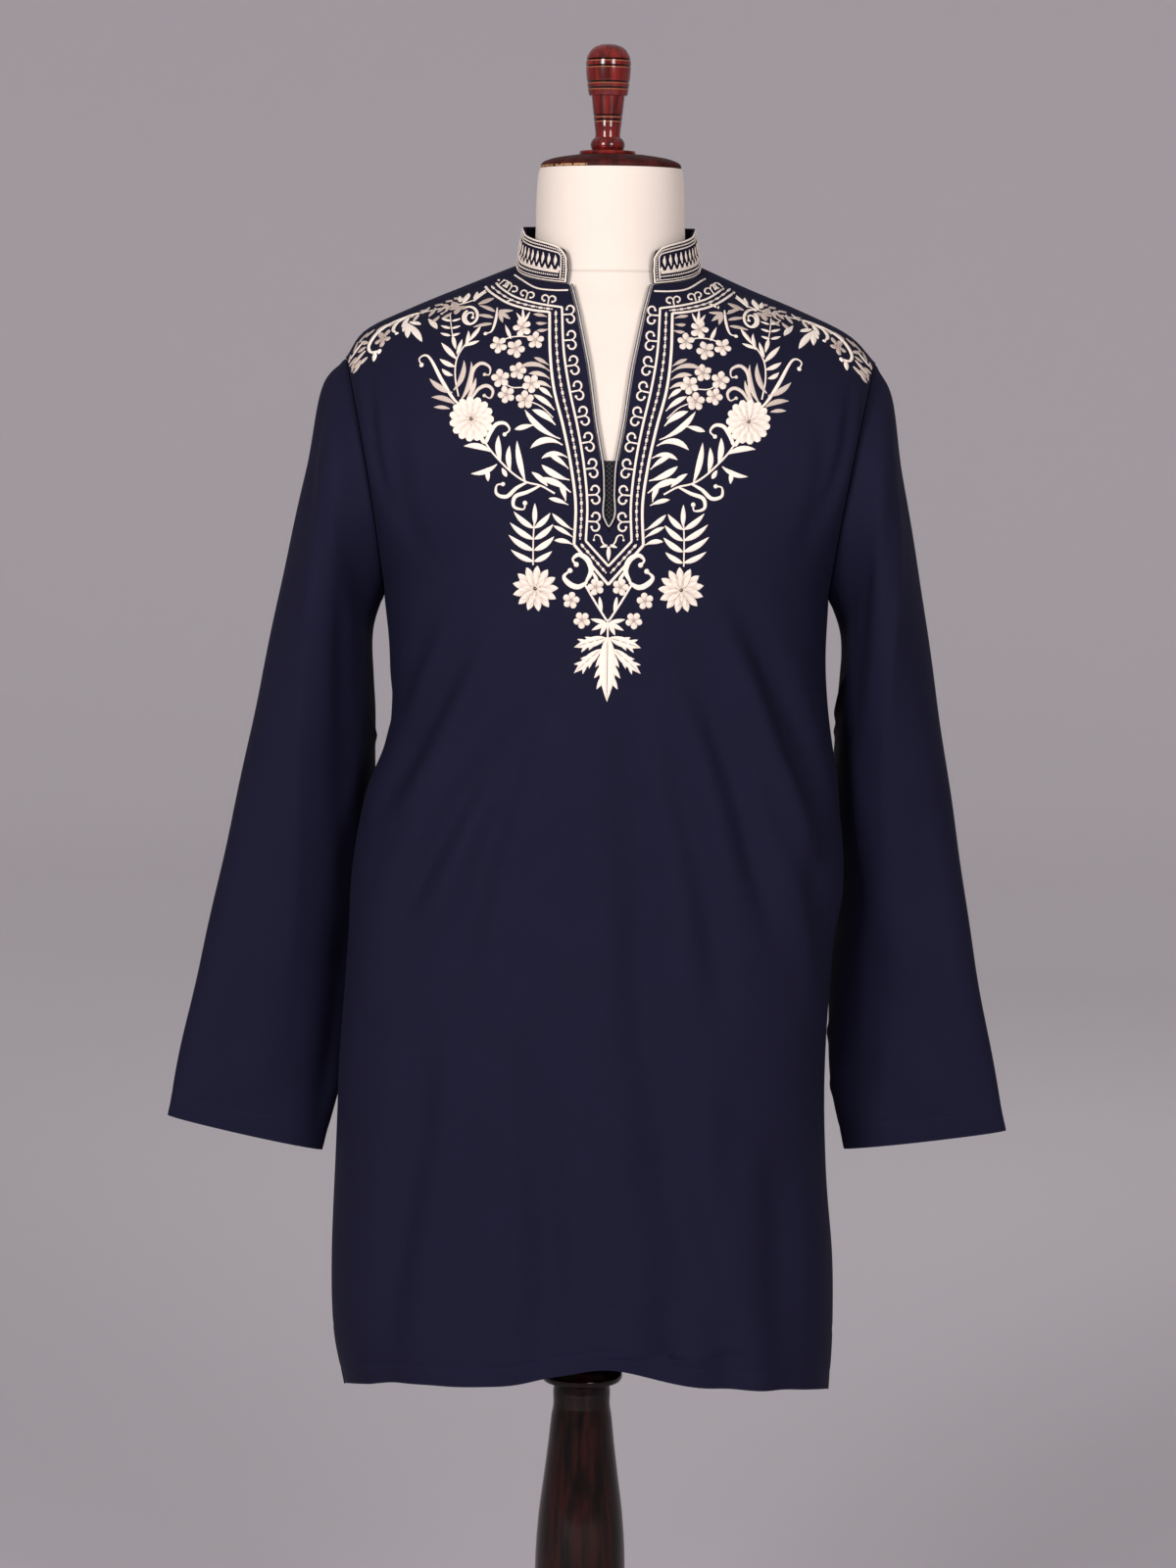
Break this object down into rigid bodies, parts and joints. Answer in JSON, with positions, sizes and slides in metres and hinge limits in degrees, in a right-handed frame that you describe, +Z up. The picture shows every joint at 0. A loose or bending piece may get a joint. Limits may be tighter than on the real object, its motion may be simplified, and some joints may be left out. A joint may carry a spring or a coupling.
{
  "type": "kurta on a turned dress stand",
  "caption": "Long-sleeved kurta with a band collar and an open V neck slit, worn by a limbless padded dress form on a turned wooden post and round foot.",
  "frame": {"origin": "middle of the round foot's underside", "axes": "+Z up along the post, -Y the way the garment's front faces, +X to the wearer's left, across the shoulders"},
  "size_m": [0.7232, 0.4, 1.6188],
  "materials": {
    "navy_cloth": "matte",
    "embroidery_thread": "satin",
    "piping": "satin",
    "placket_net": "matte",
    "cream_cover": "matte",
    "lacquered_red_wood": "gloss",
    "dark_turned_wood": "gloss"
  },
  "bodies": {
    "root": {"front": "navy_cloth", "back": "navy_cloth", "sleeve_left": "navy_cloth", "sleeve_right": "navy_cloth", "collar": "navy_cloth", "slit_piping": "piping", "inner_placket": "placket_net", "form_torso": "cream_cover", "neck_cap": "lacquered_red_wood", "finial": "lacquered_red_wood", "post_socket": "dark_turned_wood", "post": "dark_turned_wood", "stand_base": "dark_turned_wood"}
  },
  "joints": []
}
